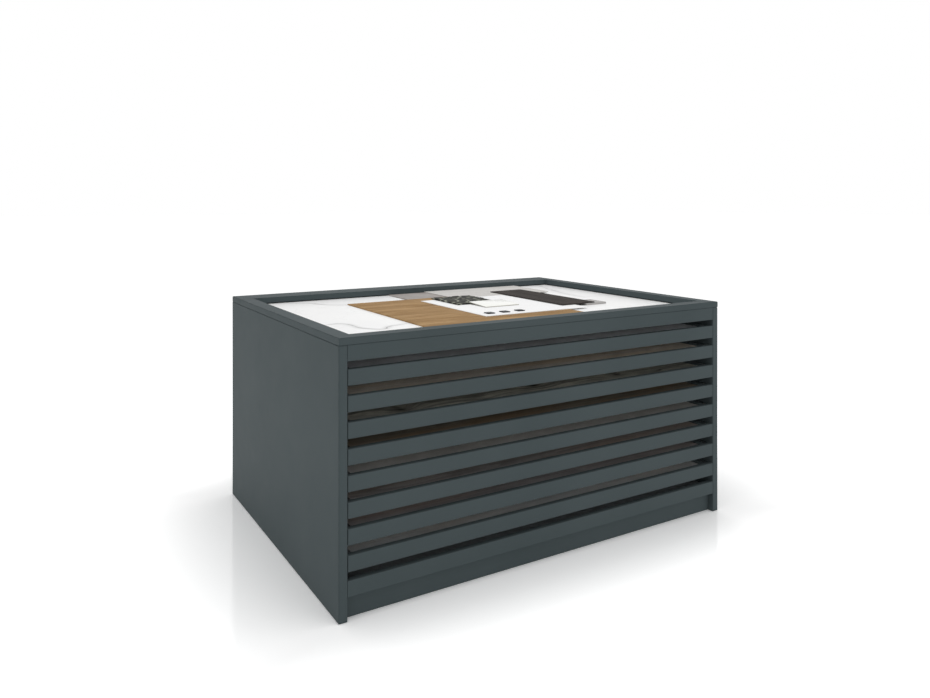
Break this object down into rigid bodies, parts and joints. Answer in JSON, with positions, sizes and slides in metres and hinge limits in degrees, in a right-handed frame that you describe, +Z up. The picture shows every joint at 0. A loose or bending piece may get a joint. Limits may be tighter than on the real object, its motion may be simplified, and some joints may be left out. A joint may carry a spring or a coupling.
{
  "type": "tile display drawer unit",
  "caption": "Low showroom cabinet with a slatted front of wide shallow drawers that show floor tiles, and a framed sample tray on top.",
  "frame": {"origin": "middle of the footprint, on the floor", "axes": "+X along the width to the viewer's right, +Y from front to back, +Z up"},
  "size_m": [1.28, 0.94, 0.662],
  "materials": {
    "lacquer": "matt slate grey lacquer",
    "carcass_board": "grey laminate",
    "backing_board": "black laminate",
    "slide_steel": "zinc plated",
    "marble": "polished marble slab",
    "oak": "oiled oak",
    "taupe": "matt porcelain",
    "greige": "matt porcelain",
    "dark_plank": "matt wood-look porcelain",
    "grey_stone": "matt porcelain",
    "card": "white card",
    "tile_1": "grey stone-look porcelain",
    "tile_2": "bleached wood-look porcelain",
    "tile_3": "knotted wood-look porcelain",
    "tile_4": "brown wood-look porcelain",
    "tile_5": "taupe stone-look porcelain",
    "tile_6": "red-brown wood-look porcelain",
    "tile_7": "red-brown plank porcelain",
    "tile_8": "taupe plank porcelain"
  },
  "bodies": {
    "carcass": {"left_side_panel": "lacquer", "right_side_panel": "lacquer", "back_panel": "lacquer", "front_plinth": "lacquer", "bottom_front_rail": "lacquer", "top_apron": "lacquer", "front_frame_rail": "lacquer", "back_frame_rail": "lacquer", "left_frame_rail": "lacquer", "right_frame_rail": "lacquer", "bottom_panel": "carcass_board", "top_deck": "carcass_board", "tray_marble_slab": "marble", "oak_sample": "oak", "taupe_sample": "taupe", "greige_sample": "greige", "dark_plank_sample": "dark_plank", "grey_sample": "grey_stone", "white_card_sample": "card"},
    "drawer_1": {"drawer_1_front": "lacquer", "drawer_1_board": "backing_board", "drawer_1_tile": "tile_1"},
    "slide_1": {"slide_1_left_middle": "slide_steel", "slide_1_right_middle": "slide_steel"},
    "drawer_2": {"drawer_2_front": "lacquer", "drawer_2_board": "backing_board", "drawer_2_tile": "tile_2"},
    "slide_2": {"slide_2_left_middle": "slide_steel", "slide_2_right_middle": "slide_steel"},
    "drawer_3": {"drawer_3_front": "lacquer", "drawer_3_board": "backing_board", "drawer_3_tile": "tile_3"},
    "slide_3": {"slide_3_left_middle": "slide_steel", "slide_3_right_middle": "slide_steel"},
    "drawer_4": {"drawer_4_front": "lacquer", "drawer_4_board": "backing_board", "drawer_4_tile": "tile_4"},
    "slide_4": {"slide_4_left_middle": "slide_steel", "slide_4_right_middle": "slide_steel"},
    "drawer_5": {"drawer_5_front": "lacquer", "drawer_5_board": "backing_board", "drawer_5_tile": "tile_5"},
    "slide_5": {"slide_5_left_middle": "slide_steel", "slide_5_right_middle": "slide_steel"},
    "drawer_6": {"drawer_6_front": "lacquer", "drawer_6_board": "backing_board", "drawer_6_tile": "tile_6"},
    "slide_6": {"slide_6_left_middle": "slide_steel", "slide_6_right_middle": "slide_steel"},
    "drawer_7": {"drawer_7_front": "lacquer", "drawer_7_board": "backing_board", "drawer_7_tile": "tile_7"},
    "slide_7": {"slide_7_left_middle": "slide_steel", "slide_7_right_middle": "slide_steel"},
    "drawer_8": {"drawer_8_front": "lacquer", "drawer_8_board": "backing_board", "drawer_8_tile": "tile_8"},
    "slide_8": {"slide_8_left_middle": "slide_steel", "slide_8_right_middle": "slide_steel"}
  },
  "joints": [
    {"name": "drawer_1_pull", "type": "slide", "parent": "carcass", "child": "drawer_1", "axis": [0, -1, 0], "range_m": [0, 0.8]},
    {"name": "slide_1_extend", "type": "slide", "parent": "carcass", "child": "slide_1", "axis": [0, -1, 0], "range_m": [0, 0.4]},
    {"name": "drawer_2_pull", "type": "slide", "parent": "carcass", "child": "drawer_2", "axis": [0, -1, 0], "range_m": [0, 0.8]},
    {"name": "slide_2_extend", "type": "slide", "parent": "carcass", "child": "slide_2", "axis": [0, -1, 0], "range_m": [0, 0.4]},
    {"name": "drawer_3_pull", "type": "slide", "parent": "carcass", "child": "drawer_3", "axis": [0, -1, 0], "range_m": [0, 0.8]},
    {"name": "slide_3_extend", "type": "slide", "parent": "carcass", "child": "slide_3", "axis": [0, -1, 0], "range_m": [0, 0.4]},
    {"name": "drawer_4_pull", "type": "slide", "parent": "carcass", "child": "drawer_4", "axis": [0, -1, 0], "range_m": [0, 0.8]},
    {"name": "slide_4_extend", "type": "slide", "parent": "carcass", "child": "slide_4", "axis": [0, -1, 0], "range_m": [0, 0.4]},
    {"name": "drawer_5_pull", "type": "slide", "parent": "carcass", "child": "drawer_5", "axis": [0, -1, 0], "range_m": [0, 0.8]},
    {"name": "slide_5_extend", "type": "slide", "parent": "carcass", "child": "slide_5", "axis": [0, -1, 0], "range_m": [0, 0.4]},
    {"name": "drawer_6_pull", "type": "slide", "parent": "carcass", "child": "drawer_6", "axis": [0, -1, 0], "range_m": [0, 0.8]},
    {"name": "slide_6_extend", "type": "slide", "parent": "carcass", "child": "slide_6", "axis": [0, -1, 0], "range_m": [0, 0.4]},
    {"name": "drawer_7_pull", "type": "slide", "parent": "carcass", "child": "drawer_7", "axis": [0, -1, 0], "range_m": [0, 0.8]},
    {"name": "slide_7_extend", "type": "slide", "parent": "carcass", "child": "slide_7", "axis": [0, -1, 0], "range_m": [0, 0.4]},
    {"name": "drawer_8_pull", "type": "slide", "parent": "carcass", "child": "drawer_8", "axis": [0, -1, 0], "range_m": [0, 0.8]},
    {"name": "slide_8_extend", "type": "slide", "parent": "carcass", "child": "slide_8", "axis": [0, -1, 0], "range_m": [0, 0.4]}
  ],
  "couplings": [
    {"joint": "slide_1_extend", "follows": "drawer_1_pull", "ratio": 0.5},
    {"joint": "slide_2_extend", "follows": "drawer_2_pull", "ratio": 0.5},
    {"joint": "slide_3_extend", "follows": "drawer_3_pull", "ratio": 0.5},
    {"joint": "slide_4_extend", "follows": "drawer_4_pull", "ratio": 0.5},
    {"joint": "slide_5_extend", "follows": "drawer_5_pull", "ratio": 0.5},
    {"joint": "slide_6_extend", "follows": "drawer_6_pull", "ratio": 0.5},
    {"joint": "slide_7_extend", "follows": "drawer_7_pull", "ratio": 0.5},
    {"joint": "slide_8_extend", "follows": "drawer_8_pull", "ratio": 0.5}
  ]
}
